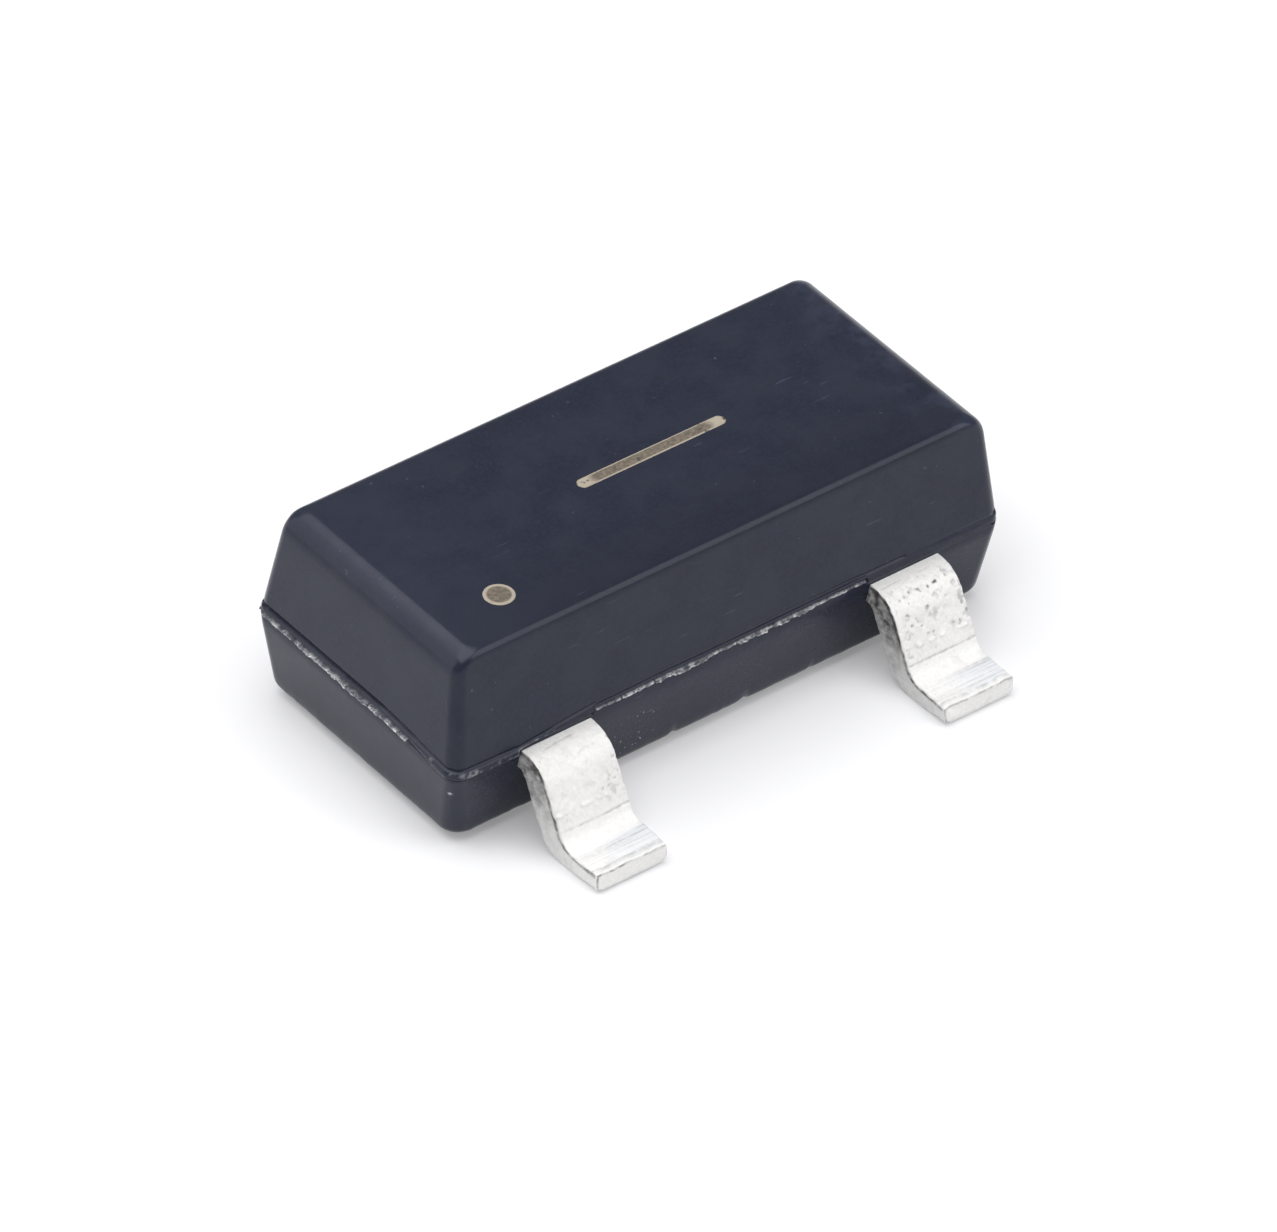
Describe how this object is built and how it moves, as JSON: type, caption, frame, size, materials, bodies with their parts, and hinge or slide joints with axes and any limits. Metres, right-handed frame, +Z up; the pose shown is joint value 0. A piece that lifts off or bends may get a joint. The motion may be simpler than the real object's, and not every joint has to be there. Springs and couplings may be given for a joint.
{
  "type": "sot-23 transistor",
  "caption": "Small surface-mount transistor: a drafted black moulded body on a bent tin-plated lead frame, with a silicon die and gold bond wires inside.",
  "frame": {"origin": "middle of the footprint, on the board under the feet", "axes": "+X along the body, +Z up from the board, the side with the base and emitter leads faces -Y"},
  "size_m": [0.003, 0.0024, 0.001],
  "materials": {
    "epoxy": "filled moulding epoxy, fine matte",
    "tin_plate": "bright tin plate on copper alloy",
    "die_solder": "dull solder",
    "silicon": "polished silicon",
    "bond_gold": "drawn gold wire"
  },
  "bodies": {
    "root": {"mould_body": "epoxy", "base_lead": "tin_plate", "emitter_lead": "tin_plate", "collector_lead": "tin_plate", "die_attach": "die_solder", "silicon_die": "silicon", "base_bond_wire": "bond_gold", "emitter_bond_wire": "bond_gold"}
  },
  "joints": []
}
